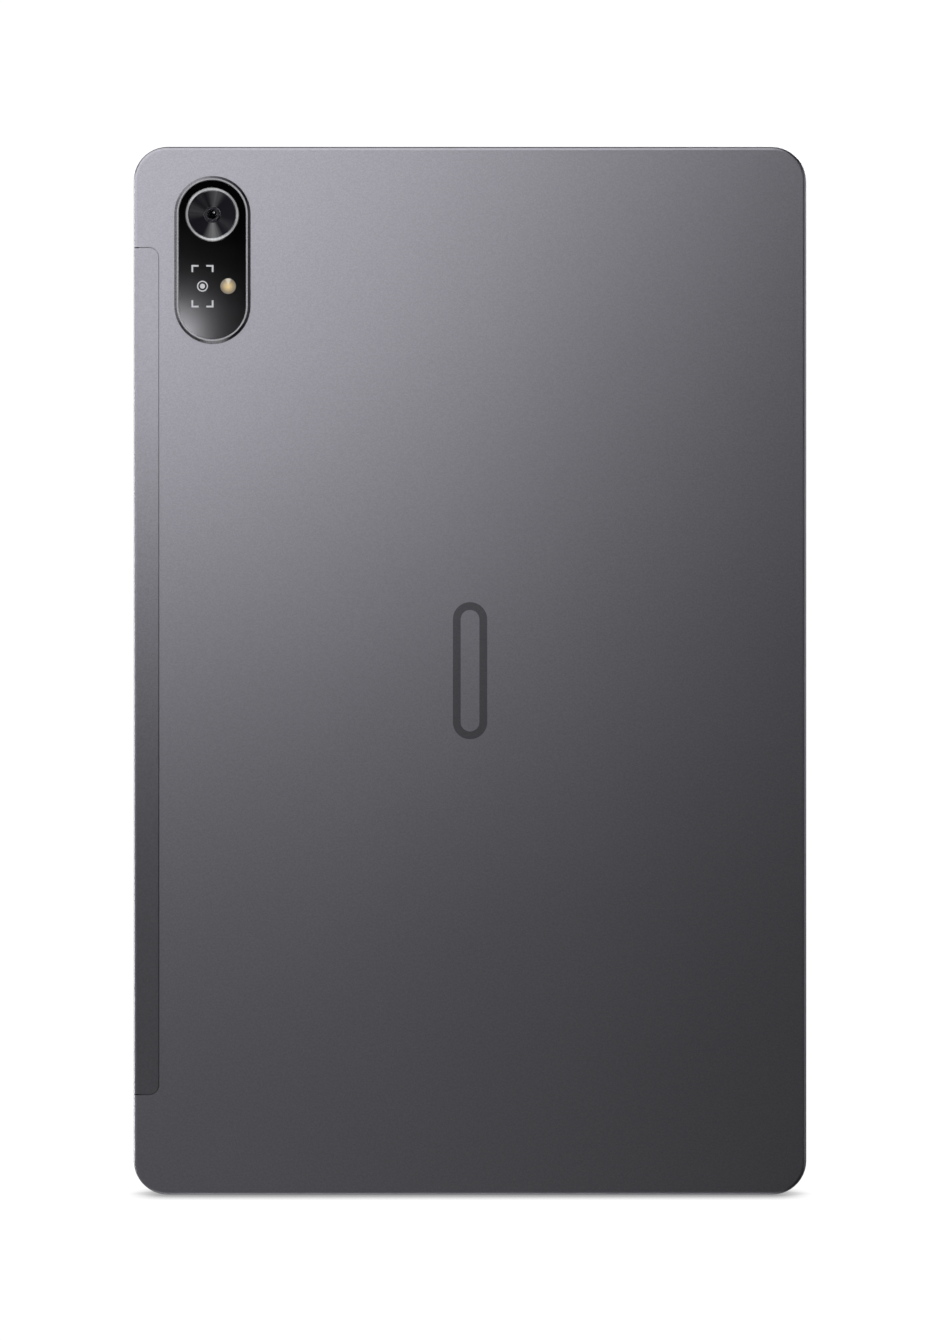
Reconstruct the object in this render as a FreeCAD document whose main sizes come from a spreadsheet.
"""Tablet computer, 11-inch class: aluminium back, plastic antenna window, rear camera, screen and everything inside.

Frame: millimetres, +Z up. The tablet stands upright on a short edge, its back looks towards -Y and its screen
towards +Y. The origin is at the centre of the box around it, on its bottom edge. Depths are counted from the flat
back face towards the screen, and heights from the bottom edge.
"""

import FreeCAD, Part
import math
import os
from types import SimpleNamespace

import Sketcher
from FreeCAD import Vector

SIZES = [
    # name, millimetres, what it is
    ("body_width", 165.0, "across the short edge"),
    ("body_height", 257.0, "along the long edge"),
    ("body_thickness", 7.6, "flat back to glass"),
    ("camera_bump", 1.1, "how far the lens ring stands out of the back"),
    ("corner_radius", 8.35, "corners of the outline"),
    ("back_edge_radius", 0.9, "rounding between the back and the sides"),
    ("back_wall", 0.8, "thickness of the back"),
    ("side_wall", 1.3, "thickness of the sides"),
    ("wall_top", 6.4, "depth at which the metal sides end"),
    ("fit_gap", 0.1, "gap between pieces that are pushed together"),
    ("seam_gap", 0.26, "visible seam round the antenna window"),
    ("window_strip_width", 6.23, "antenna window, seen from the back"),
    ("window_strip_bottom", 24.6, "height of its lower end"),
    ("window_strip_top", 232.2, "height of its upper end"),
    ("window_strip_radius", 2.6, "its two corners on the back"),
    ("lap_width", 1.7, "how far the antenna window's bonding lap reaches under the metal"),
    ("lap_thickness", 0.4, "thickness of that lap"),
    ("glass_thickness", 0.7, "cover glass"),
    ("glass_inset", 0.8, "cover glass edge in from the outline"),
    ("glass_edge_radius", 0.42, "rounded front edge of the cover glass"),
    ("ink_thickness", 0.05, "black border printed behind the glass"),
    ("active_width", 147.4, "lit area of the display"),
    ("active_height", 235.9, "lit area of the display"),
    ("rim_width", 0.7, "plastic rim round the glass"),
    ("rim_top", 7.3, "depth at which the rim ends"),
    ("flange_thickness", 0.35, "bezel frame's flange under the glass"),
    ("skirt_inset", 1.4, "bezel frame's skirt in from the outline"),
    ("skirt_width", 1.0, "thickness of the skirt"),
    ("skirt_height", 0.8, "how far the skirt reaches into the shell"),
    ("panel_width", 152.4, "liquid crystal panel"),
    ("panel_height", 243.9, "liquid crystal panel"),
    ("panel_thickness", 0.95, "liquid crystal panel"),
    ("backlight_depth", 4.6, "depth of the backlight tray's floor"),
    ("backlight_thickness", 1.25, "whole backlight"),
    ("tray_sheet", 0.15, "steel of the backlight tray"),
    ("driver_ledge", 1.95, "strip of the panel that the backlight leaves free for the flex"),
    ("plate_depth", 4.2, "depth of the mid plate"),
    ("plate_thickness", 0.35, "mid plate"),
    ("plate_inset", 1.9, "mid plate in from the outline"),
    ("board_depth", 2.6, "depth of both circuit boards"),
    ("board_thickness", 0.8, "both circuit boards"),
    ("shield_height", 1.3, "shield cans above the board"),
    ("shield_sheet", 0.2, "sheet metal of shields and sockets"),
    ("flex_thickness", 0.12, "flat cables"),
    ("cell_width", 62.0, "one battery cell"),
    ("cell_height", 160.0, "one battery cell"),
    ("cell_thickness", 2.9, "one battery cell"),
    ("cell_gap", 6.0, "between the two cells"),
    ("cell_bottom", 24.0, "height of the cells' lower edge"),
    ("boss_radius", 1.5, "screw bosses"),
    ("screw_radius", 0.7, "M1.4 screws"),
    ("screw_hole_radius", 0.78, "holes for them"),
    ("screw_head_radius", 1.25, "their heads"),
    ("screw_head_height", 0.45, "their heads"),
    ("speaker_x", 39.5, "speaker centres, either side of the middle"),
    ("speaker_width", 25.0, "speaker box"),
    ("speaker_height", 10.8, "speaker box, from the wall inwards"),
    ("speaker_thickness", 3.1, "speaker box"),
    ("grille_slots", 6, "slots in each speaker grille"),
    ("grille_pitch", 2.9, "slot to slot"),
    ("grille_slot_length", 2.1, "one slot"),
    ("grille_slot_width", 1.1, "one slot"),
    ("side_middle", 3.2, "depth of the middle of the sides"),
    ("port_depth", 2.5, "depth of the middle of the USB-C port"),
    ("port_width", 8.94, "USB-C receptacle, outside"),
    ("port_height", 3.16, "USB-C receptacle, outside"),
    ("port_length", 7.3, "USB-C receptacle"),
    ("port_sheet", 0.3, "its steel"),
    ("tongue_width", 6.69, "its contact tongue"),
    ("tongue_thickness", 0.7, "its contact tongue"),
    ("tongue_length", 4.45, "its contact tongue"),
    ("microphone_x", 14.0, "bottom microphone hole, right of the port"),
    ("microphone_hole_radius", 0.45, "microphone holes"),
    ("key_travel", 0.25, "how far a key can be pressed"),
    ("key_width", 2.3, "both side keys, across the edge"),
    ("key_relief", 0.4, "depth of the hollow that the keys sit in"),
    ("key_sink", 0.05, "key faces below the outline"),
    ("key_clearance", 0.1, "gap round the keys"),
    ("power_key_x", -66.0, "middle of the power key"),
    ("power_key_length", 11.0, "power key"),
    ("volume_key_height", 217.0, "height of the middle of the volume key"),
    ("volume_key_length", 21.0, "volume key"),
    ("volume_switch_offset", 7.5, "volume switches either side of its middle"),
    ("switch_width", 3.0, "tact switches"),
    ("switch_depth", 1.7, "tact switches, across the edge"),
    ("switch_height", 1.1, "tact switches"),
    ("slot_depth", 1.85, "depth of the middle of the card tray"),
    ("tray_face_x", -4.0, "middle of the card tray's face"),
    ("tray_face_width", 16.0, "card tray's face"),
    ("tray_face_height", 1.8, "card tray's face"),
    ("tray_face_thickness", 1.2, "card tray's face"),
    ("tray_x", -5.4, "middle of the card carrier behind the face"),
    ("tray_width", 12.4, "card carrier"),
    ("tray_length", 17.2, "card carrier"),
    ("tray_thickness", 0.9, "card carrier"),
    ("card_width", 11.1, "pocket for the card"),
    ("card_length", 15.1, "pocket for the card"),
    ("card_depth", 0.75, "pocket for the card"),
    ("tray_play", 0.1, "room for the carrier in its socket, each way"),
    ("eject_x", 2.4, "ejector rod and its hole"),
    ("eject_radius", 0.5, "ejector rod"),
    ("eject_hole_radius", 0.45, "hole for the pin in the card tray's face"),
    ("lever_pivot_x", -0.6, "ejector lever's pivot"),
    ("lever_pivot_height", 235.4, "ejector lever's pivot"),
    ("lever_width", 1.2, "ejector lever"),
    ("lever_thickness", 0.5, "ejector lever"),
    ("lever_long_arm", 6.0, "pivot to the tip that pushes the tray"),
    ("lever_short_arm", 3.4, "pivot to the end that the rod pushes"),
    ("pivot_radius", 0.4, "pivot stud"),
    ("camera_x", -63.15, "middle of the camera island"),
    ("island_height", 229.2, "height of its middle"),
    ("island_width", 18.6, "camera island"),
    ("island_length", 41.1, "camera island"),
    ("island_rise", 0.9, "how far the island's frame stands out of the back"),
    ("island_rim", 0.95, "visible width of its frame"),
    ("island_chamfer", 0.62, "bevel round its frame"),
    ("window_sink", 0.2, "camera window below the frame"),
    ("window_thickness", 0.7, "camera window"),
    ("window_margin", 0.13, "gap between the camera window and its frame"),
    ("lens_height", 240.3, "height of the lens axis"),
    ("lens_ring_radius", 6.65, "bright ring round the lens"),
    ("lens_ring_inner", 5.7, "its inside"),
    ("dial_hole_radius", 2.05, "hole in the turned disc inside the ring"),
    ("barrel_radius", 1.85, "front of the focusing barrel"),
    ("lens_opening_radius", 1.1, "front lens"),
    ("module_width", 8.5, "camera module, square"),
    ("flash_x", -59.25, "flash"),
    ("flash_height", 222.7, "flash"),
    ("flash_radius", 1.92, "flash"),
    ("front_camera_x", -78.65, "front camera"),
    ("front_camera_height", 128.5, "front camera, middle of the long side"),
    ("cable_radius", 0.4, "antenna cables"),
]

# Places of repeated things: x, and height above the bottom edge.
MAIN_BOARD_SCREWS = [(-46.0, 228.0), (56.0, 237.0), (-46.0, 208.0), (56.0, 208.0), (-20.0, 250.5), (21.5, 250.5)]
SUB_BOARD_SCREWS = [(-22.0, 8.0), (22.0, 8.0), (-8.5, 5.0), (8.5, 5.0)]
PLATE_SCREWS = [(side * 78.8, height) for side in (-1, 1) for height in (22.0, 75.0, 180.0)]
PLATE_SCREWS += [(78.8, 238.0), (-56.0, 253.2), (62.0, 253.2), (-60.0, 3.8), (60.0, 3.8)]
SNAP_LENGTH = 8.0
SNAPS_ACROSS = [-20.0, 18.0, 68.0]
SNAPS_UPRIGHT = [40.0, 105.0, 150.0, 210.0]

doc = FreeCAD.newDocument("Tablet")


class Size:
    """A length in millimetres together with the spreadsheet expression that gives it."""

    def __init__(self, text, value):
        self.text = text
        self.value = value

    @staticmethod
    def of(number):
        return number if isinstance(number, Size) else Size(f"{number:.6g}", float(number))

    def joined(self, sign, other, value):
        return Size(f"({self.text} {sign} {other.text})", value)

    def __add__(self, other):
        other = Size.of(other)
        return self.joined("+", other, self.value + other.value)

    def __sub__(self, other):
        other = Size.of(other)
        return self.joined("-", other, self.value - other.value)

    def __mul__(self, other):
        other = Size.of(other)
        return self.joined("*", other, self.value * other.value)

    def __truediv__(self, other):
        other = Size.of(other)
        return self.joined("/", other, self.value / other.value)

    def __radd__(self, other):
        return Size.of(other) + self

    def __rsub__(self, other):
        return Size.of(other) - self

    def __rmul__(self, other):
        return Size.of(other) * self

    def __neg__(self):
        return Size.of(0) - self


def write_sheet():
    """The driving dimensions as a spreadsheet, and the same as Size values."""
    sheet = doc.addObject("Spreadsheet::Sheet", "Sizes")
    named = {}
    for row, (name, value, meaning) in enumerate(SIZES, 1):
        sheet.set(f"A{row}", name)
        sheet.set(f"B{row}", str(value))
        sheet.set(f"C{row}", meaning)
        sheet.setAlias(f"B{row}", name)
        named[name] = Size(f"Sizes.{name}", float(value))
    doc.recompute()
    return SimpleNamespace(**named)


def bind(thing, path, size):
    """Ties a property of a document object to the spreadsheet."""
    thing.setExpression(path, Size.of(size).text)


def point(x, y):
    return Vector(Size.of(x).value, Size.of(y).value, 0)


def fix(sketch, kind, geometry, size):
    """Adds a dimension to a sketch and ties it to the spreadsheet."""
    size = Size.of(size)
    index = sketch.addConstraint(Sketcher.Constraint(kind, *geometry, size.value))
    if "Sizes." in size.text:
        sketch.setExpression(f"Constraints[{index}]", size.text)


def pin_point(sketch, geometry, end, x, y):
    """Dimensions a point of the sketch from the sketch's origin."""
    fix(sketch, "DistanceX", (-1, 1, geometry, end), x)
    fix(sketch, "DistanceY", (-1, 1, geometry, end), y)


def polygon(*corners):
    """Outline through these corners."""

    def draw(sketch):
        first = sketch.GeometryCount
        count = len(corners)
        for i, corner in enumerate(corners):
            sketch.addGeometry(Part.LineSegment(point(*corner), point(*corners[(i + 1) % count])))
        for i, corner in enumerate(corners):
            sketch.addConstraint(Sketcher.Constraint("Coincident", first + (i - 1) % count, 2, first + i, 1))
            pin_point(sketch, first + i, 1, *corner)

    return draw


def rectangle(left, low, right, high):
    return polygon((left, low), (right, low), (right, high), (left, high))


def middle_rectangle(x, y, width, height):
    half_width = Size.of(width) / 2
    half_height = Size.of(height) / 2
    return rectangle(x - half_width, y - half_height, x + half_width, y + half_height)


def circle(x, y, radius):
    def draw(sketch):
        index = sketch.addGeometry(Part.Circle(point(x, y), Vector(0, 0, 1), Size.of(radius).value))
        pin_point(sketch, index, 3, x, y)
        fix(sketch, "Radius", (index,), radius)

    return draw


def arc(centre, radius, start_degrees, end_degrees):
    whole = Part.Circle(centre, Vector(0, 0, 1), radius)
    return Part.ArcOfCircle(whole, math.radians(start_degrees), math.radians(end_degrees))


def rounded(x, y, width, height, radius):
    """Rectangle with rounded corners round the middle x, y."""
    x, y, width, height, radius = (Size.of(v) for v in (x, y, width, height, radius))
    left, right = x - width / 2, x + width / 2
    low, high = y - height / 2, y + height / 2

    def draw(sketch):
        r = radius.value
        ends = [
            (point(left + radius, low), point(right - radius, low)),
            (point(right, low + radius), point(right, high - radius)),
            (point(right - radius, high), point(left + radius, high)),
            (point(left, high - radius), point(left, low + radius)),
        ]
        centres = [
            point(right - radius, low + radius),
            point(right - radius, high - radius),
            point(left + radius, high - radius),
            point(left + radius, low + radius),
        ]
        first = sketch.GeometryCount
        for i in range(4):
            sketch.addGeometry(Part.LineSegment(*ends[i]))
            sketch.addGeometry(arc(centres[i], r, 90 * i - 90, 90 * i))
        for i in range(8):
            sketch.addConstraint(Sketcher.Constraint("Tangent", first + i, 2, first + (i + 1) % 8, 1))
        for i in range(4):
            direction = "Horizontal" if i % 2 == 0 else "Vertical"
            sketch.addConstraint(Sketcher.Constraint(direction, first + 2 * i))
        for i in (3, 5, 7):
            sketch.addConstraint(Sketcher.Constraint("Equal", first + 1, first + i))
        fix(sketch, "Radius", (first + 1,), radius)
        fix(sketch, "DistanceY", (-1, 1, first, 1), low)
        fix(sketch, "DistanceX", (-1, 1, first + 2, 1), right)
        fix(sketch, "DistanceY", (-1, 1, first + 4, 1), high)
        fix(sketch, "DistanceX", (-1, 1, first + 6, 1), left)

    return draw


def pill(x, y, length, width, upright=False):
    """Slot with round ends round the middle x, y; its length lies across the sketch, or upright."""
    x, y, length, width = (Size.of(v) for v in (x, y, length, width))
    radius = width / 2
    reach = length / 2 - radius

    def draw(sketch):
        if upright:
            near, far = (x, y - reach), (x, y + reach)
            side, turn, direction = point(radius, 0), 90, "Vertical"
        else:
            near, far = (x - reach, y), (x + reach, y)
            side, turn, direction = point(0, -radius), 0, "Horizontal"
        start, end = point(*near), point(*far)
        first = sketch.GeometryCount
        sketch.addGeometry(Part.LineSegment(start + side, end + side))
        sketch.addGeometry(arc(end, radius.value, turn - 90, turn + 90))
        sketch.addGeometry(Part.LineSegment(end - side, start - side))
        sketch.addGeometry(arc(start, radius.value, turn + 90, turn + 270))
        for i in range(4):
            sketch.addConstraint(Sketcher.Constraint("Tangent", first + i, 2, first + (i + 1) % 4, 1))
        sketch.addConstraint(Sketcher.Constraint("Equal", first + 1, first + 3))
        sketch.addConstraint(Sketcher.Constraint(direction, first))
        fix(sketch, "Radius", (first + 1,), radius)
        pin_point(sketch, first + 3, 3, *near)
        along = ("DistanceY", far[1]) if upright else ("DistanceX", far[0])
        fix(sketch, along[0], (-1, 1, first + 1, 3), along[1])

    return draw


class Piece:
    """A PartDesign body. Levels and lengths run towards +X, +Y or +Z, square to the plane that is named."""

    def __init__(self, label, x=0, y=0, z=0):
        self.body = doc.addObject("PartDesign::Body", label)
        self.body.Label = label
        bind(self.body, ".Placement.Base.x", x)
        bind(self.body, ".Placement.Base.y", y)
        bind(self.body, ".Placement.Base.z", z)

    def sketch(self, plane, level, outlines):
        sketch = self.body.newObject("Sketcher::SketchObject", self.body.Label + "_sketch")
        role = plane + "_Plane"
        support = next(f for f in self.body.Origin.OriginFeatures if f.Role == role)
        sketch.AttachmentSupport = (support, [""])
        sketch.MapMode = "FlatFace"
        level = Size.of(level)
        bind(sketch, ".AttachmentOffset.Base.z", -level if plane == "XZ" else level)
        for draw in outlines:
            draw(sketch)
        return sketch

    def feature(self, kind, profile):
        made = self.body.newObject("PartDesign::" + kind, self.body.Label + "_" + kind.lower())
        made.Profile = profile
        return made

    def pad(self, plane, level, length, *outlines):
        made = self.feature("Pad", self.sketch(plane, level, outlines))
        bind(made, "Length", length)
        made.Reversed = plane == "XZ"
        return self

    def pocket(self, plane, level, length, *outlines):
        made = self.feature("Pocket", self.sketch(plane, level, outlines))
        bind(made, "Length", length)
        made.Reversed = plane != "XZ"
        return self

    def turn(self, *outlines):
        """Revolves outlines drawn as (radius, y) about the line through the piece's origin along Y."""
        sketch = self.sketch("XY", 0, outlines)
        made = self.feature("Revolution", sketch)
        made.ReferenceAxis = (sketch, ["V_Axis"])
        made.Angle = 360
        return self

    def edges(self, kind, size, wanted):
        """Fillets or chamfers the edges of the last feature that wanted() picks."""
        doc.recompute()
        tip = self.body.Tip
        names = [f"Edge{i}" for i, edge in enumerate(tip.Shape.Edges, 1) if wanted(edge)]
        made = self.body.newObject("PartDesign::" + kind, self.body.Label + "_" + kind.lower())
        made.Base = (tip, names)
        bind(made, "Radius" if kind == "Fillet" else "Size", size)
        return self


def at_depth(depth):
    """Picks the edges that lie at this depth of the piece."""

    def wanted(edge):
        box = edge.BoundBox
        return abs(box.YMin - depth) < 1e-4 and abs(box.YMax - depth) < 1e-4

    return wanted


def along_y(edge):
    """Picks the straight edges that run from back to front."""
    box = edge.BoundBox
    return box.XLength < 1e-4 and box.ZLength < 1e-4


def group(label, shapes):
    """One node of several separate solids."""
    made = doc.addObject("Part::Feature", label)
    made.Label = label
    made.Shape = Part.makeCompound(shapes)
    return made


def copies(master, places):
    """The shape of a body, moved to each place given as (x, y, z)."""
    doc.recompute()
    shapes = []
    for place in places:
        shape = master.Shape.copy()
        shape.Placement = FreeCAD.Placement(Vector(*place), FreeCAD.Rotation())
        shapes.append(shape)
    return shapes


d = write_sheet()
half_width = d.body_width / 2
half_height = d.body_height / 2
back = (d.camera_bump - d.body_thickness) / 2  # y of the flat back face


def depth(size):
    """y of a depth below the back face."""
    return back + size


def case(label, extra=None):
    """A piece that fills the whole outline: its local height is counted from the middle of the tablet."""
    return Piece(label, 0, depth(extra) if extra is not None else back, half_height)


def inset(amount):
    """The outline of the body, drawn in by an amount."""
    return rounded(0, 0, d.body_width - 2 * amount, d.body_height - 2 * amount, d.corner_radius - amount)


# ---------------------------------------------------------------- shell


def grille(x):
    """The slots of one speaker grille."""
    count = int(d.grille_slots.value)
    middle = (count - 1) / 2
    size = (d.grille_slot_length, d.grille_slot_width)
    return [pill(x + d.grille_pitch * (i - middle), d.side_middle, *size) for i in range(count)]


def snap_outlines(reach_in, reach_out, length):
    """Rectangles for the snap beads or their grooves, between two insets from the outline."""
    outlines = []
    for x in SNAPS_ACROSS:
        for side in (-1, 1):
            middle = side * (half_height - (reach_in + reach_out) / 2)
            outlines.append(middle_rectangle(x, middle, length, reach_in - reach_out))
    for height in SNAPS_UPRIGHT:
        x = half_width - (reach_in + reach_out) / 2
        outlines.append(middle_rectangle(x, height - half_height, reach_in - reach_out, length))
    return outlines


def make_rear_shell():
    """Aluminium back with its four sides, milled from one piece."""
    shell = case("rear_shell")
    shell.pad("XZ", 0, d.wall_top, inset(0))
    shell.edges("Fillet", d.back_edge_radius, at_depth(0))
    shell.pocket("XZ", d.back_wall, d.wall_top - d.back_wall, inset(d.side_wall))
    opening = (d.island_width + d.fit_gap, d.island_length + d.fit_gap)
    island = pill(d.camera_x, d.island_height - half_height, opening[1], opening[0], upright=True)
    shell.pocket("XZ", 0, d.back_wall, island)
    middle = (d.window_strip_bottom + d.window_strip_top) / 2 - half_height
    long_side = d.window_strip_top - d.window_strip_bottom + d.seam_gap
    across = 2 * (d.window_strip_width + d.seam_gap / 2)
    strip = rounded(-half_width, middle, across, long_side, d.window_strip_radius)
    shell.pocket("XZ", 0, d.wall_top, strip)
    grooves = snap_outlines(d.side_wall + 0.1, d.side_wall - 0.3, SNAP_LENGTH + 0.4)
    shell.pocket("XZ", d.wall_top - 0.6, 0.5, *grooves)
    # Openings in the bottom and top sides
    bottom, top = -half_height, half_height - d.side_wall
    speakers = grille(d.speaker_x) + grille(-d.speaker_x)
    hole = circle(d.microphone_x, d.side_middle, d.microphone_hole_radius)
    port = pill(0, d.port_depth, d.port_width + 0.26, d.port_height + 0.26)
    shell.pocket("XY", bottom, d.side_wall, port, hole, *speakers)
    key = (d.power_key_length, d.key_width)
    key_hole = pill(d.power_key_x, d.side_middle, *(size + 2 * d.key_clearance for size in key))
    tray_size = (d.tray_face_width + 2 * d.fit_gap, d.tray_face_height + 2 * d.fit_gap)
    tray = pill(d.tray_face_x, d.slot_depth, *tray_size)
    shell.pocket("XY", top, d.side_wall, key_hole, tray, hole, *speakers)
    relief = pill(d.power_key_x, d.side_middle, d.power_key_length + 3.4, d.key_width + 1.9)
    shell.pocket("XY", half_height - d.key_relief, d.key_relief, relief)
    return shell


def make_antenna_window():
    """Plastic strip that lets radio waves through: L-shaped, with a bonding lap under the metal."""
    middle = (d.window_strip_bottom + d.window_strip_top) / 2
    long_side = d.window_strip_top - d.window_strip_bottom - d.seam_gap
    reach = d.window_strip_width - d.seam_gap / 2
    strip = Piece("antenna_window", -half_width, back, middle)
    round_strip = rounded(0, 0, 2 * reach, long_side, d.window_strip_radius - d.seam_gap)
    strip.pad("XZ", 0, d.wall_top, round_strip)
    # Only the half on the tablet's side of the outline stays
    strip.pocket("XZ", 0, d.wall_top, rectangle(-reach - 1, -long_side, 0, long_side))
    strip.edges("Fillet", d.back_edge_radius, lambda edge: at_depth(0)(edge) and edge.BoundBox.XMax < 1e-4)
    inner = rectangle(d.side_wall, -long_side, reach + 1, long_side)
    strip.pocket("XZ", d.back_wall, d.wall_top - d.back_wall, inner)
    lap_end = long_side / 2 + d.seam_gap + d.lap_width
    lap = rectangle(d.side_wall - d.fit_gap, -lap_end, reach + d.seam_gap + d.lap_width, lap_end)
    strip.pad("XZ", d.back_wall, d.lap_thickness, lap)
    # The lap passes inside the metal sides beyond both ends of the strip
    past_ends = [
        rectangle(0, side * long_side / 2, d.side_wall + d.fit_gap, side * (lap_end + 1)) for side in (-1, 1)
    ]
    strip.pocket("XZ", d.back_wall, d.lap_thickness, *past_ends)
    key_height = d.volume_key_height - middle
    opening = pill(
        d.side_middle, key_height, d.volume_key_length + 2 * d.key_clearance,
        d.key_width + 2 * d.key_clearance, upright=True,
    )
    strip.pocket("YZ", 0, d.side_wall, opening)
    relief = pill(d.side_middle, key_height, d.volume_key_length + 3.4, d.key_width + 1.9, upright=True)
    strip.pocket("YZ", 0, d.key_relief, relief)
    return strip


def make_bezel_frame():
    """Black plastic frame between the shell and the glass, with screw posts and snap beads."""
    frame = case("bezel_frame")
    flange_inner = middle_rectangle(0, 0, d.panel_width + 0.8, d.panel_height + 0.8)
    frame.pad("XZ", d.wall_top, d.flange_thickness, inset(0), flange_inner)
    rim_start = d.wall_top + d.flange_thickness
    frame.pad("XZ", rim_start, d.rim_top - rim_start, inset(0), inset(d.rim_width))
    skirt_start = d.wall_top - d.skirt_height
    skirt = inset(d.skirt_inset), inset(d.skirt_inset + d.skirt_width)
    frame.pad("XZ", skirt_start, d.skirt_height, *skirt)
    beads = snap_outlines(d.skirt_inset + 0.1, d.side_wall - 0.2, SNAP_LENGTH)
    frame.pad("XZ", d.wall_top - 0.5, 0.3, *beads)
    plate_top = d.plate_depth + d.plate_thickness
    posts = [circle(x, height - half_height, d.boss_radius - 0.1) for x, height in PLATE_SCREWS]
    holes = [circle(x, height - half_height, d.screw_hole_radius) for x, height in PLATE_SCREWS]
    frame.pad("XZ", plate_top, d.wall_top - plate_top, *posts)
    frame.pocket("XZ", plate_top, d.wall_top - plate_top - 0.2, *holes)
    notch = middle_rectangle(d.front_camera_x, d.front_camera_height - half_height, 4.5, 6.2)
    frame.pocket("XZ", skirt_start, rim_start - skirt_start, notch)
    return frame


# ---------------------------------------------------------------- display


def make_cover_glass():
    """Cover glass with a rounded front edge."""
    glass = case("cover_glass", d.body_thickness - d.glass_thickness)
    glass.pad("XZ", 0, d.glass_thickness, inset(d.glass_inset))
    return glass.edges("Fillet", d.glass_edge_radius, at_depth(d.glass_thickness.value))


def make_border_ink():
    """Black border printed on the back of the glass, with a clear spot for the front camera."""
    ink = case("border_ink", d.body_thickness - d.glass_thickness - d.ink_thickness)
    active = middle_rectangle(0, 0, d.active_width, d.active_height)
    spot = circle(d.front_camera_x, d.front_camera_height - half_height, 1.1)
    return ink.pad("XZ", 0, d.ink_thickness, inset(d.glass_inset + 0.05), active, spot)


def make_display_adhesive():
    """Foam tape between the glass and the bezel frame's flange."""
    start = d.wall_top + d.flange_thickness
    tape = case("display_adhesive", start)
    end = d.body_thickness - d.glass_thickness - d.ink_thickness
    tape.pad("XZ", 0, end - start, inset(d.glass_inset + d.fit_gap), inset(4.5))
    notch = middle_rectangle(d.front_camera_x, d.front_camera_height - half_height, 4.9, 6.2)
    return tape.pocket("XZ", 0, end - start, notch)


def make_display():
    """Liquid crystal panel, and the backlight: a steel tray with light guide, films and a bar of LEDs."""
    panel_start = d.body_thickness - d.glass_thickness - d.ink_thickness - d.panel_thickness
    panel = case("lcd_panel", panel_start)
    panel.pad("XZ", 0, d.panel_thickness, middle_rectangle(0, 0, d.panel_width, d.panel_height))

    left = d.panel_width / 2 - 0.3
    low = -d.panel_height / 2 + 0.3
    high = d.panel_height / 2 - d.driver_ledge
    sheet = d.tray_sheet
    tray = case("backlight_tray", d.backlight_depth)
    tray.pad("XZ", 0, d.backlight_thickness, rectangle(-left, low, left, high))
    inside = rectangle(-left + sheet, low + sheet, left - sheet, high - sheet)
    tray.pocket("XZ", sheet, d.backlight_thickness - sheet, inside)

    edge = left - sheet - 0.1
    floor = low + sheet + 0.1
    roof = high - sheet - 0.1
    bar = 2.4
    guide_thickness = 0.65
    guide = case("light_guide", d.backlight_depth + sheet)
    guide.pad("XZ", 0, guide_thickness, rectangle(-edge, floor, edge, roof - bar))
    lights = case("backlight_led_bar", d.backlight_depth + sheet)
    lights.pad("XZ", 0, guide_thickness, rectangle(-edge, roof - bar + 0.1, edge, roof))
    films = case("diffuser_films", d.backlight_depth + sheet + guide_thickness)
    films.pad("XZ", 0, 0.35, rectangle(-edge, floor, edge, roof))


def make_mid_plate():
    """Aluminium plate between the screen and the electronics, with the bosses that hold the boards."""
    plate = case("mid_plate", d.plate_depth)
    plate.pad("XZ", 0, d.plate_thickness, inset(d.plate_inset))
    boss_height = d.plate_depth - d.board_depth - d.board_thickness
    board_screws = MAIN_BOARD_SCREWS + SUB_BOARD_SCREWS
    bosses = [circle(x, height - half_height, d.boss_radius) for x, height in board_screws]
    plate.pad("XZ", -boss_height, boss_height, *bosses)
    tapped = [circle(x, height - half_height, d.screw_hole_radius) for x, height in board_screws]
    plate.pocket("XZ", -boss_height, boss_height + d.plate_thickness, *tapped)
    around = PLATE_SCREWS + speaker_screws()
    holes = [circle(x, height - half_height, d.screw_hole_radius) for x, height in around]
    notch = middle_rectangle(-half_width + 4.2, d.front_camera_height - half_height, 5.0, 6.2)
    slot = rectangle(4.5, 250.6 - half_height, 17.5, 251.8 - half_height)
    power_room = rectangle(d.power_key_x - 7, 253.5 - half_height, d.power_key_x + 7, half_height)
    middle = d.volume_key_height - half_height
    volume_room = rectangle(-half_width, middle - 12, -half_width + 3.2, middle + 12)
    rooms = (notch, slot, power_room, volume_room)
    return plate.pocket("XZ", 0, d.plate_thickness, *rooms, *holes)


# ---------------------------------------------------------------- power and boards


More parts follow.
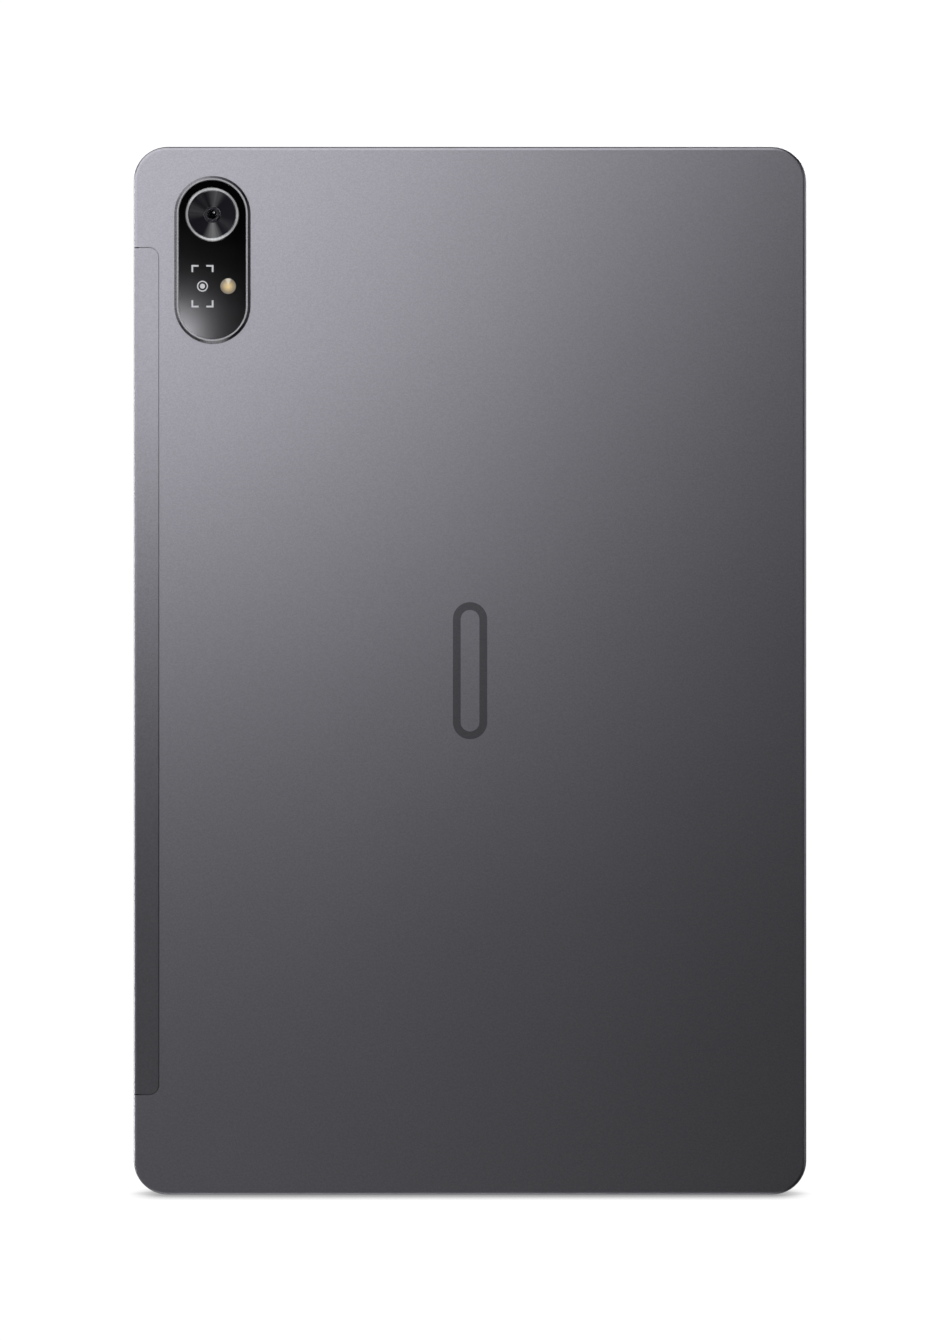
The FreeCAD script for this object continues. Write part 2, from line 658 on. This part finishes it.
def make_battery():
    """Two lithium cells, their tape, the protection board and its flex to the main board."""
    cell_depth = d.plate_depth - 0.2 - d.cell_thickness
    guard_depth = 2.16
    middle = d.cell_bottom + d.cell_height / 2
    offset = (d.cell_gap + d.cell_width) / 2
    for side, name in ((-1, "battery_cell_left"), (1, "battery_cell_right")):
        cell = Piece(name, side * offset, depth(cell_depth), middle)
        cell.pad("XZ", 0, d.cell_thickness, rounded(0, 0, d.cell_width, d.cell_height, 2.5))
        cell.edges("Fillet", 0.7, lambda edge: at_depth(0)(edge) or at_depth(d.cell_thickness.value)(edge))
        tabs = [
            rectangle(x - side * 9 - 1.5, d.cell_height / 2 - 0.5, x - side * 9 + 1.5, d.cell_height / 2 + 3)
            for x in (-2.5, 2.5)
        ]
        cell.pad("XZ", guard_depth + 1.1 - cell_depth, 0.1, *tabs)
    tape = Piece("battery_tape", 0, depth(d.plate_depth - 0.2), middle)
    strips = [
        middle_rectangle(side * offset, 0, d.cell_width - 30, d.cell_height - 12) for side in (-1, 1)
    ]
    tape.body.AllowCompound = True
    tape.pad("XZ", 0, 0.2, *strips)
    top = d.cell_bottom + d.cell_height
    guard = Piece("battery_protection_board", 0, depth(guard_depth), top)
    guard.pad("XZ", 1.2, 0.6, rectangle(-30, 1, 30, 7))
    guard.pad("XZ", 0, 1.2, rectangle(11.5, 1.4, 20.5, 3.4), rectangle(-19, 1.6, -8, 6.2))
    flex = Piece("battery_flex", 16, 0, top)
    # Ribbon that steps from the protection board over to the connector on the main board
    path = [(2.0, 2.1), (23.0, 2.1)]
    flex.pad("YZ", -4, 8, ribbon(path))
    return guard


def ribbon(path):
    """Outline of a flat cable seen edge on, for a sketch of the YZ plane: path holds (height, depth)."""
    half = d.flex_thickness / 2
    towards_back = [(back + deep - half, height) for height, deep in path]
    towards_front = [(back + deep + half, height) for height, deep in reversed(path)]
    return polygon(*towards_back, *towards_front)


def board(label, *outlines):
    """A circuit board with screw holes; its height is counted from the bottom edge."""
    made = Piece(label, 0, depth(d.board_depth), 0)
    return made.pad("XZ", 0, d.board_thickness, *outlines)


def make_main_board():
    """Main board, with connectors and small parts on it."""
    shoulder = 240.7
    outline = [(-50, 204), (60, 204), (60, shoulder), (25, shoulder), (25, 254.2), (-24, 254.2)]
    outline += [(-24, shoulder), (-50, shoulder)]
    holes = [circle(x, height, d.screw_hole_radius + 0.05) for x, height in MAIN_BOARD_SCREWS]
    made = board("main_board", polygon(*outline), *holes)
    connectors = [
        (-3.5, 204.6, 3.5, 208.0, 0.6),  # main flex
        (12, 204.6, 20, 208.0, 0.44),  # battery
        (-46.5, 202.8, -43.5, 206.2, 0.9),  # side keys
        (-41.9, 206.0, -40.5, 208.6, 0.9),  # antenna cables
        (-39.5, 206.0, -38.1, 208.6, 0.9),
        (-49.6, 220.0, -45.0, 224.5, 1.23),  # flash
    ]
    for left, low, right, high, rise in connectors:
        made.pad("XZ", -rise, rise, rectangle(left, low, right, high))
    chips = [middle_rectangle(-30, height, 5, 4) for height in (212, 220, 228)]
    chips += [middle_rectangle(x, 236, 3, 2) for x in (-40, -34, -28)]
    made.pad("XZ", -0.8, 0.8, *chips)
    # Sockets on the screen side, for the two cameras
    made.pad("XZ", d.board_thickness, 0.45, rectangle(-39.5, 204.3, -36, 206.5))
    return made.pad("XZ", d.board_thickness, 0.4, rectangle(-49.8, 236.4, -47, 240.4))


def shield_can(label, x, height, width, length):
    """Folded sheet metal can, open towards the board."""
    can = Piece(label, x, depth(d.board_depth - d.shield_height), height)
    can.pad("XZ", 0, d.shield_height, rounded(0, 0, width, length, 1.2))
    sheet = d.shield_sheet
    inside = rounded(0, 0, width - 2 * sheet, length - 2 * sheet, 1.0)
    return can.pocket("XZ", sheet, d.shield_height - sheet, inside)


def make_board_parts():
    """Shields, chips, thermal pad and heat spreader on the main board's back side."""
    shield_can("processor_shield", -3, 220, 38, 23)
    shield_can("power_shield", 38, 226, 30, 27)
    front = depth(d.board_depth)
    chips = Piece("board_chips", -12, front, 220)
    chips.body.AllowCompound = True
    processor = rounded(0, 0, 14, 14, 0.4)
    memory = rounded(14, 5, 11, 9, 0.3), rounded(14, -5.2, 13, 9.5, 0.3)
    chips.pad("XZ", -0.85, 0.85, processor, *memory)
    thermal = Piece("thermal_pad", -12, front, 220)
    thermal.pad("XZ", -d.shield_height + d.shield_sheet, 0.25, rounded(0, 0, 12, 12, 0.8))
    spreader = Piece("graphite_sheet", 12, depth(d.board_depth - d.shield_height - 0.1), 221.5)
    spreader.pad("XZ", 0, 0.1, rounded(0, 0, 70, 20, 2))


def make_sub_board():
    """Small board that carries the USB-C port at the bottom edge."""
    notch = d.port_width / 2 + 0.3
    deep = d.port_length + 0.5
    outline = [(-26, 2), (-notch, 2), (-notch, deep), (notch, deep), (notch, 2), (26, 2), (26, 15), (-26, 15)]
    holes = [circle(x, height, d.screw_hole_radius + 0.05) for x, height in SUB_BOARD_SCREWS]
    made = board("sub_board", polygon(*outline), *holes)
    made.pad("XZ", -0.6, 0.6, rectangle(-3.5, 11, 3.5, 14.4))
    return made.pad("XZ", -0.7, 0.7, middle_rectangle(-15, 9, 3, 3), middle_rectangle(-15, 13, 4, 2))


def make_port():
    """USB-C receptacle: steel sleeve, and the contact tongue on its moulded base."""
    sleeve = Piece("usb_c_sleeve", 0, depth(d.port_depth), 0.25)
    sleeve.pad("XY", 0, d.port_length, pill(0, 0, d.port_width, d.port_height))
    inside = (d.port_width - 2 * d.port_sheet, d.port_height - 2 * d.port_sheet)
    sleeve.pocket("XY", 0, d.port_length, pill(0, 0, *inside))
    above_board = d.board_depth - d.port_depth
    tab_start = d.port_width / 2 - 0.15
    tabs = [spread(side * tab_start, side * (tab_start + 1.9), 2.4, 4.6) for side in (-1, 1)]
    sleeve.pad("XZ", above_board - d.port_sheet, d.port_sheet, *tabs)
    tongue = Piece("usb_c_tongue", 0, depth(d.port_depth), 0.25)
    base_start = d.port_length - 1.8
    tongue.pad("XY", base_start, 1.8, pill(0, 0, inside[0] - 0.02, inside[1] - 0.02))
    blade = middle_rectangle(0, 0, d.tongue_width, d.tongue_thickness)
    tongue.pad("XY", base_start - d.tongue_length, d.tongue_length, blade)
    collar = middle_rectangle(0, 0, d.tongue_width, 1.3)
    return tongue.pad("XY", base_start - 1.0, 1.0, collar)


def make_flexes():
    """Flat cables between the boards, the panel and the front camera."""
    main = Piece("main_flex")
    main.pad("YZ", -2.5, 5, ribbon([(11.5, 1.94), (207.5, 1.94)]))
    display = Piece("display_flex")
    half = d.flex_thickness / 2
    panel_back = d.body_thickness - d.glass_thickness - d.ink_thickness - d.panel_thickness
    high, low = back + panel_back - half, back + d.plate_depth - 0.4
    outline = [
        (high + half, 249.0), (high + half, 251.3 + half), (low - half, 251.3 + half), (low - half, 236.0),
        (low + half, 236.0), (low + half, 251.3 - half), (high - half, 251.3 - half), (high - half, 249.0),
    ]
    display.pad("YZ", 5, 12, polygon(*outline))
    front = Piece("front_camera_flex", 0, depth(3.85), 0)
    left = d.front_camera_x + 2.05
    leg = [(left, 127), (left + 3.5, 127), (left + 3.5, 195), (-36, 195), (-36, 206.5), (-39.5, 206.5)]
    leg += [(-39.5, 198.5), (left, 198.5)]
    return front.pad("XZ", 0, d.flex_thickness, polygon(*leg))


# ---------------------------------------------------------------- side keys


def make_power_button():
    """Power key: a cap in the top side, a flange that keeps it in, and a nub over its switch."""
    face = d.body_height - d.key_sink
    inner_wall = d.body_height - d.side_wall
    key = Piece("power_button", d.power_key_x, depth(d.side_middle), inner_wall)
    key.pad("XY", -0.5, face - inner_wall + 0.5, pill(0, 0, d.power_key_length, d.key_width))
    key.edges("Fillet", 0.2, lambda edge: edge.BoundBox.ZMin > 1.2)
    key.pad("XY", -0.75, 0.7, pill(0, 0, d.power_key_length + 1.4, d.key_width + 0.9))
    return key.pad("XY", -1.4, 0.65, circle(0, 0, 0.8))


def make_volume_rocker():
    """Volume key: a cap in the left side that rocks about its middle, with a nub at either end."""
    inner_wall = -half_width + d.side_wall
    key = Piece("volume_rocker", inner_wall, depth(d.side_middle), d.volume_key_height)
    face = d.side_wall - d.key_sink
    cap = pill(0, 0, d.volume_key_length, d.key_width, upright=True)
    key.pad("YZ", -face, face, cap)
    key.edges("Fillet", 0.2, lambda edge: edge.BoundBox.XMax < -1.2)
    key.pad("YZ", 0, 0.7, pill(0, 0, d.volume_key_length - 1, d.key_width - 0.1, upright=True))
    key.pad("YZ", 0.15, 0.55, middle_rectangle(0, 0, d.key_width + 0.9, 8))
    nubs = [circle(0, side * d.volume_switch_offset, 0.7) for side in (-1, 1)]
    return key.pad("YZ", 0.7, 0.6, *nubs)


def make_key_parts():
    """Tact switches behind the keys, the flex that they sit on and the brackets that back it."""
    power_top = d.body_height - d.side_wall - 1.4 - d.key_travel - 0.02
    volume_left = -half_width + d.side_wall + 1.3 + d.key_travel + 0.05
    middle = depth(d.side_middle)
    switches = Piece("key_switches", 0, middle, 0)
    switches.body.AllowCompound = True
    across = d.switch_width / 2
    deep = d.switch_depth / 2
    power = rectangle(d.power_key_x - across, power_top - d.switch_height, d.power_key_x + across, power_top)
    volume = []
    for side in (-1, 1):
        height = d.volume_key_height + side * d.volume_switch_offset
        volume.append(rectangle(volume_left, height - across, volume_left + d.switch_height, height + across))
    switches.pad("XZ", -deep, 2 * deep, power, *volume)

    # The flex stands on edge: up behind the volume key, round the corner and along behind the power key
    flex_left = (volume_left + d.switch_height).value
    flex_top = (power_top - d.switch_height).value
    thick = d.flex_thickness.value
    flex = doc.addObject("Part::Feature", "key_flex")
    centre_x = -(d.body_width / 2 - d.corner_radius).value
    centre_z = (d.body_height - d.corner_radius).value
    line_x = flex_left + thick / 2
    line_z = flex_top - thick / 2
    low, turn = 202.8 - thick / 2, 3.0
    corner_x, corner_z = centre_x - line_x, line_z - centre_z
    start = Vector(-43.5, 0, low)
    wire = [
        Part.LineSegment(start, Vector(line_x + turn, 0, low)).toShape(),
        quarter(Vector(line_x + turn, 0, low + turn), Vector(0, 0, -turn), Vector(-turn, 0, 0)),
        Part.LineSegment(Vector(line_x, 0, low + turn), Vector(line_x, 0, centre_z)).toShape(),
        quarter(Vector(centre_x, 0, centre_z), Vector(-corner_x, 0, 0), Vector(0, 0, corner_z)),
        Part.LineSegment(Vector(centre_x, 0, line_z), Vector(-60.0, 0, line_z)).toShape(),
    ]
    flex.Shape = standing_strip(wire, thick, d.switch_depth.value)
    flex.Placement = FreeCAD.Placement(Vector(0, middle.value - d.switch_depth.value / 2, 0), FreeCAD.Rotation())

    bracket_x = flex_left + thick
    bracket_z = flex_top - thick
    foot = d.plate_depth - d.side_middle - 0.25
    brackets = Piece("key_brackets", 0, middle, 0)
    brackets.body.AllowCompound = True
    low, high = d.volume_key_height - 11, d.volume_key_height + 11
    left, right = d.power_key_x - 6, d.power_key_x + 6
    walls = (
        rectangle(bracket_x, low, bracket_x + 0.25, high),
        rectangle(left, bracket_z - 0.25, right, bracket_z),
    )
    feet = rectangle(bracket_x, low, bracket_x + 3, high), rectangle(left, bracket_z - 3, right, bracket_z)
    brackets.pad("XZ", -deep, deep + d.plate_depth - d.side_middle, *walls)
    return brackets.pad("XZ", foot, 0.25, *feet)


def quarter(centre, first, last):
    """Arc about a centre from one corner to the next; the two arms may differ a little in length."""
    between = (first + last).normalize() * ((first.Length + last.Length) / 2)
    return Part.Arc(centre + first, centre + between, centre + last).toShape()


def standing_strip(edges, thick, width):
    """A strip of sheet that stands on the XZ plane along some edges, as wide as it is tall in Y."""
    first = edges[0].Vertexes[0].Point
    along = (edges[0].Vertexes[-1].Point - first).normalize()
    across = along.cross(Vector(0, 1, 0)) * (thick / 2)
    corners = [first - across, first + across]
    corners += [corners[1] + Vector(0, width, 0), corners[0] + Vector(0, width, 0)]
    profile = Part.makePolygon([*corners, corners[0]])
    return Part.Wire(edges).makePipeShell([profile], True, False)


# ---------------------------------------------------------------- card slot


def make_card_slot():
    """Card tray that pulls out of the top side, its socket, and the rod and lever that push it out."""
    middle = depth(d.slot_depth)
    face = d.body_height - d.key_sink
    tray = Piece("card_tray", d.tray_x, middle, face)
    offset = d.tray_face_x - d.tray_x
    face_outline = pill(offset, 0, d.tray_face_width, d.tray_face_height)
    tray.pad("XY", -d.tray_face_thickness, d.tray_face_thickness, face_outline)
    half_thick = d.tray_thickness / 2
    carrier_top = -d.tray_face_thickness
    body = rectangle(-d.tray_width / 2, carrier_top - d.tray_length, d.tray_width / 2, carrier_top)
    tray.pad("XZ", -half_thick, d.tray_thickness, body)
    pocket_top = carrier_top - 1.0
    pocket = rectangle(-d.card_width / 2, pocket_top - d.card_length, d.card_width / 2, pocket_top)
    tray.pocket("XZ", -half_thick, d.card_depth, pocket)
    eject_hole = circle(d.eject_x - d.tray_x, 0, d.eject_hole_radius)
    tray.pocket("XY", -d.tray_face_thickness, d.tray_face_thickness, eject_hole)

    low = 232.6
    high = d.body_height - d.side_wall - 1.1
    left, right = -12.8, 4.4
    board_side = d.board_depth - d.slot_depth
    cover_side = -(half_thick + d.tray_play + d.shield_sheet)
    socket = Piece("card_socket", 0, middle, 0)
    socket.pad("XZ", cover_side, board_side - cover_side, rectangle(left, low, right, high))
    tunnel = middle_rectangle(d.tray_x, 0, d.tray_width + 0.3, d.tray_thickness + 2 * d.tray_play)
    channel = middle_rectangle(d.eject_x, 0, 2 * d.eject_radius + 0.2, 2 * d.eject_radius + 0.2)
    socket.pocket("XY", low + 0.4, high - low, tunnel, channel)
    # The lever's room is open towards the back, and its pivot stud stands in it
    room = rectangle(left + 0.4, low + 0.4, right - 0.4, 238.0)
    socket.pocket("XZ", cover_side, board_side - cover_side - 0.2, room)
    socket.pad("XZ", 0, board_side - 0.05, circle(d.lever_pivot_x, d.lever_pivot_height, d.pivot_radius))

    rod_low = d.lever_pivot_height + d.lever_width / 2 + 0.05
    rod_high = d.body_height - d.side_wall - 0.25
    rod = Piece("eject_rod", d.eject_x, middle, rod_low)
    rod.pad("XY", 0, rod_high - rod_low, circle(0, 0, d.eject_radius))

    lever = Piece("eject_lever", d.lever_pivot_x, middle, d.lever_pivot_height)
    arms = rectangle(-d.lever_long_arm, -d.lever_width / 2, d.lever_short_arm, d.lever_width / 2)
    lever.pad("XZ", 0, d.lever_thickness, arms, circle(0, 0, d.pivot_radius + 0.04))
    return lever


# ---------------------------------------------------------------- sound


def speaker_screws():
    """Places of the speakers' screws: two for each box."""
    reach = (d.speaker_width / 2).value - 1.9
    wall = d.side_wall.value + 0.2 + d.speaker_height.value + 1.8
    places = []
    for side in (-1, 1):
        for offset in (-reach, reach):
            x = side * d.speaker_x.value + offset
            places += [(x, wall), (x, d.body_height.value - wall)]
    return places


def speaker(label, side, at_top):
    """Speaker box with a sound outlet towards the grille, a diaphragm window and two screw ears."""
    wall = d.side_wall + 0.2
    box_depth = d.plate_depth - 0.05 - d.speaker_thickness
    height = d.body_height - wall if at_top else wall
    box = Piece(label, side * d.speaker_x, depth(box_depth), height)
    inwards = -1 if at_top else 1
    reach = d.speaker_width / 2
    ear = d.speaker_height + 3.6
    box.pad("XZ", 0, d.speaker_thickness, spread(-reach, reach, 0, inwards * d.speaker_height))
    ears = [
        spread(side_x * (reach - 3.8), side_x * reach, inwards * (d.speaker_height - 0.4), inwards * ear)
        for side_x in (-1, 1)
    ]
    box.pad("XZ", d.speaker_thickness - 0.8, 0.8, *ears)
    holes = [circle(x * (reach - 1.9), inwards * (d.speaker_height + 1.8), d.screw_hole_radius) for x in (-1, 1)]
    box.pocket("XZ", d.speaker_thickness - 0.8, 0.8, *holes)
    middle = d.side_middle - box_depth
    outlet = middle_rectangle(0, middle, d.grille_pitch * (d.grille_slots - 1) + 2.4, 1.6)
    box.pocket("XY", -4 if at_top else 0, 4, outlet)
    window = rounded(0, inwards * (d.speaker_height / 2 + 0.6), 17, 7.4, 3.0)
    return box.pocket("XZ", 0, 0.3, window)


def spread(x0, x1, y0, y1):
    """Rectangle between two corners given in any order."""
    (x0, x1), (y0, y1) = (sorted((Size.of(a), Size.of(b)), key=lambda s: s.value) for a, b in ((x0, x1), (y0, y1)))
    return rectangle(x0, y0, x1, y1)


def make_sound():
    """Four speakers, the dust meshes behind their grilles and the two microphones."""
    for at_top, end in ((True, "top"), (False, "bottom")):
        for side, name in ((-1, "left"), (1, "right")):
            speaker(f"speaker_{end}_{name}", side, at_top)
    mesh = Piece("speaker_meshes", 0, depth(d.side_middle), 0)
    mesh.body.AllowCompound = True
    length = d.grille_pitch * (d.grille_slots - 1) + 3.4
    sheets = [middle_rectangle(side * d.speaker_x, 0, length, 2.2) for side in (-1, 1)]
    mesh.pad("XY", d.side_wall, 0.15, *sheets)
    mesh.pad("XY", d.body_height - d.side_wall - 0.15, 0.15, *sheets)
    microphones = Piece("microphones", d.microphone_x, depth(d.board_depth), 0)
    microphones.body.AllowCompound = True
    ends = rectangle(-1.75, 2.2, 1.75, 5.0), rectangle(-1.75, 251.2, 1.75, 254.0)
    return microphones.pad("XZ", -1.0, 1.0, *ends)


# ---------------------------------------------------------------- cameras


def make_camera_island():
    """Frame of the camera island, the black window in it, and the flash behind the window."""
    frame_top = -d.island_rise
    frame = Piece("camera_frame", d.camera_x, back, d.island_height)
    outside = pill(0, 0, d.island_length, d.island_width, upright=True)
    frame.pad("XZ", frame_top, d.island_rise + d.back_wall, outside)
    frame.edges("Chamfer", d.island_chamfer, at_depth(frame_top.value))
    flange = pill(0, 0, d.island_length + 2, d.island_width + 2, upright=True)
    frame.pad("XZ", d.back_wall, 0.4, flange)
    seat = pill(0, 0, d.island_length - 2 * d.island_rim, d.island_width - 2 * d.island_rim, upright=True)
    seat_depth = d.window_sink + d.window_thickness
    frame.pocket("XZ", frame_top, seat_depth, seat)
    ledge = pill(0, 0, d.island_length - 4, d.island_width - 4, upright=True)
    frame.pocket("XZ", frame_top + seat_depth, d.island_rise + d.back_wall + 0.4 - seat_depth, ledge)

    window_top = frame_top + d.window_sink
    window = Piece("camera_window", d.camera_x, depth(window_top), d.island_height)
    margin = d.island_rim + d.window_margin
    pane = pill(0, 0, d.island_length - 2 * margin, d.island_width - 2 * margin, upright=True)
    lens_hole = circle(0, d.lens_height - d.island_height, d.lens_ring_radius + 0.03)
    flash_at = (d.flash_x - d.camera_x, d.flash_height - d.island_height)
    window.pad("XZ", 0, d.window_thickness, pane, lens_hole, circle(*flash_at, d.flash_radius + 0.02))

    flash = Piece("flash_lens", d.flash_x, depth(window_top), d.flash_height)
    flash.pad("XZ", 0, 0.9, circle(0, 0, d.flash_radius))
    flash.edges("Fillet", 0.08, at_depth(0))
    led = Piece("flash_led", d.flash_x, depth(0.35), d.flash_height)
    led.pad("XZ", 0, 0.9, middle_rectangle(0, 0, 2.4, 2.4))
    return led.pad("XZ", 0.9, d.flex_thickness, rectangle(-2, -2, 12.4, 2))


def make_rear_camera():
    """Bright ring, turned disc, cover glass, focusing barrel, module housing and sensor board."""
    axis = (d.camera_x, back, d.lens_height)
    top = -d.camera_bump
    outer, inner = d.lens_ring_radius, d.lens_ring_inner
    bevel = 0.22
    ring_bottom = d.window_sink + d.window_thickness - d.island_rise + 0.05
    ring = Piece("lens_ring", *axis)
    ring.turn(
        polygon(
            (inner, top + bevel), (inner + bevel, top), (outer - bevel, top), (outer, top + bevel),
            (outer, ring_bottom), (inner - 0.6, ring_bottom), (inner - 0.6, ring_bottom - 0.25),
            (inner, ring_bottom - 0.25),
        )
    )
    dial = Piece("lens_dial", *axis)
    dial_back = ring_bottom - 0.27
    hole = d.dial_hole_radius
    edge = inner - 0.03
    dial.turn(
        polygon((hole, top + 0.5), (edge, top + 0.25), (edge, dial_back), (hole + 0.3, dial_back), (hole, top + 0.75))
    )
    glass = Piece("lens_cover_glass", *axis)
    glass.turn(rectangle(0, top + 0.37, hole - 0.03, top + 0.5))

    barrel = Piece("focus_barrel", *axis)
    nose = top + 0.85
    opening = d.lens_opening_radius
    barrel.turn(
        polygon(
            (0, nose + 0.3), (opening * 0.6, nose + 0.35), (opening, nose + 0.5), (opening + 0.15, nose),
            (d.barrel_radius, nose), (d.barrel_radius, 0.75), (3.0, 0.75), (3.0, 3.2), (0, 3.2),
        )
    )
    half_module = d.module_width / 2
    housing = Piece("camera_housing", *axis)
    housing.pad("XZ", 0.15, 3.55, middle_rectangle(0, 0, d.module_width, d.module_width))
    housing.edges("Fillet", 0.6, along_y)
    housing.pocket("XZ", 0.15, 3.3, circle(0, 0, d.barrel_radius + 0.15))
    housing.pocket("XZ", 0.4, 3.05, circle(0, 0, 3.2))
    sensor = Piece("camera_sensor_board", *axis)
    sensor.pad("XZ", 3.7, 0.3, middle_rectangle(0, 0, d.module_width, d.module_width))
    return sensor.pad("XZ", 3.8, d.flex_thickness, rectangle(half_module - 1, -4, 16, 0))


def make_front_camera():
    """Front camera module beside the panel, looking out through the glass."""
    module = Piece("front_camera", d.front_camera_x, depth(3.6), d.front_camera_height)
    module.pad("XZ", 0, 3.1, middle_rectangle(0, 0, 4.1, 5.8))
    return module.pad("XZ", 3.1, 0.12, circle(0, 0, 1.3))


# ---------------------------------------------------------------- antennas and fasteners


def make_antennas():
    """Two antenna foils on the antenna window's inner wall, and a thin cable from each to the main board."""
    foils = Piece("antenna_foils", -half_width + d.side_wall, back, 0)
    foils.body.AllowCompound = True
    foils.pad("YZ", 0, 0.12, rectangle(1.3, 60, 5.2, 100), rectangle(1.3, 150, 5.2, 190))
    # A spring clip from each foil to the end of its cable
    foils.pad("YZ", 0, 2.0, rectangle(1.9, 93.8, 2.4, 95.95))
    foils.pad("YZ", 0, 0.8, rectangle(1.9, 157.8, 2.4, 159.95))
    radius = d.cable_radius.value
    level = depth(2.15).value
    turn = 2.5
    cables = []
    for x, start, run, end in ((-80.0, 160.0, 197.5, -41.2), (-78.8, 96.0, 196.3, -38.8)):
        corner, last = Vector(x, level, run), Vector(end, level, run)
        up = Vector(0, 0, turn)
        across = Vector(turn, 0, 0)
        edges = [
            Part.LineSegment(Vector(x, level, start), corner - up).toShape(),
            quarter(corner - up + across, -1 * across, up),
            Part.LineSegment(corner + across, last - across).toShape(),
            quarter(last - across + up, -1 * up, across),
            Part.LineSegment(last + up, Vector(end, level, 205.95)).toShape(),
        ]
        profile = Part.Wire(Part.makeCircle(radius, Vector(x, level, start), Vector(0, 0, 1)))
        cables.append(Part.Wire(edges).makePipeShell([profile], True, False))
    return group("antenna_cables", cables)


def screw(label, shank):
    """Master screw: its head's underside is at the origin and its shank points towards +Y."""
    made = Piece(label)
    head, recess = d.screw_head_height, 0.25
    made.turn(
        polygon(
            (0, -head + recess), (0.45, -head + recess), (0.45, -head), (d.screw_head_radius - 0.15, -head),
            (d.screw_head_radius, -head + 0.15), (d.screw_head_radius, 0), (d.screw_radius, 0),
            (d.screw_radius, shank - 0.2), (d.screw_radius - 0.2, shank), (0, shank),
        )
    )
    return made.body


def make_screws():
    """The M1.4 screws, one node for each set."""
    master = screw("board_screw_master", 1.85)
    level = depth(d.board_depth).value
    places = [(x, level, height) for x, height in MAIN_BOARD_SCREWS + SUB_BOARD_SCREWS]
    group("board_screws", copies(master, places))
    short = screw("speaker_screw_master", 1.1)
    level = depth(d.plate_depth - 0.05 - 0.8).value
    group("speaker_screws", copies(short, [(x, level, height) for x, height in speaker_screws()]))
    level = depth(d.plate_depth).value
    group("mid_plate_screws", copies(master, [(x, level, height) for x, height in PLATE_SCREWS]))


# ---------------------------------------------------------------- build, check, write

MASTERS = ("board_screw_master", "speaker_screw_master")


def build():
    make_rear_shell()
    make_antenna_window()
    make_bezel_frame()
    make_cover_glass()
    make_border_ink()
    make_display_adhesive()
    make_display()
    make_mid_plate()
    make_battery()
    make_main_board()
    make_board_parts()
    make_sub_board()
    make_port()
    make_flexes()
    make_power_button()
    make_volume_rocker()
    make_key_parts()
    make_card_slot()
    make_sound()
    make_camera_island()
    make_rear_camera()
    make_front_camera()
    make_antennas()
    make_screws()
    doc.recompute()


def nodes():
    """The objects that are sub-parts of the tablet."""
    kinds = ("PartDesign::Body", "Part::Feature")
    return [o for o in doc.Objects if o.TypeId in kinds and o.Label not in MASTERS]


def check():
    """Stops if any object failed, a feature changed nothing, or a sub-part isn't made of valid solids."""
    problems = []
    for thing in doc.Objects:
        if "Invalid" in thing.State or "Error" in thing.State:
            problems.append(f"{thing.Name} failed: {thing.State}")
    for body in (o for o in doc.Objects if o.TypeId == "PartDesign::Body"):
        before = 0.0
        for feature in body.Group:
            if not feature.isDerivedFrom("PartDesign::Feature"):
                continue
            volume = feature.Shape.Volume
            cuts = feature.TypeId in ("PartDesign::Pocket", "PartDesign::Groove")
            grows = feature.TypeId in ("PartDesign::Pad", "PartDesign::Revolution")
            if (cuts and volume > before - 1e-6) or (grows and volume < before + 1e-6):
                problems.append(f"{feature.Name} changed nothing: {before:.4f} to {volume:.4f}")
            before = volume
    for node in nodes():
        shape = node.Shape
        if shape.isNull() or not shape.isValid() or not shape.Solids:
            problems.append(f"{node.Label} has no valid solid")
    if problems:
        raise SystemExit("\n".join(problems))


def write():
    os.makedirs("parts", exist_ok=True)
    for node in nodes():
        node.Shape.exportStep(os.path.join("parts", node.Label + ".step"))
    print(len(nodes()), "sub-parts written")


build()
check()
write()
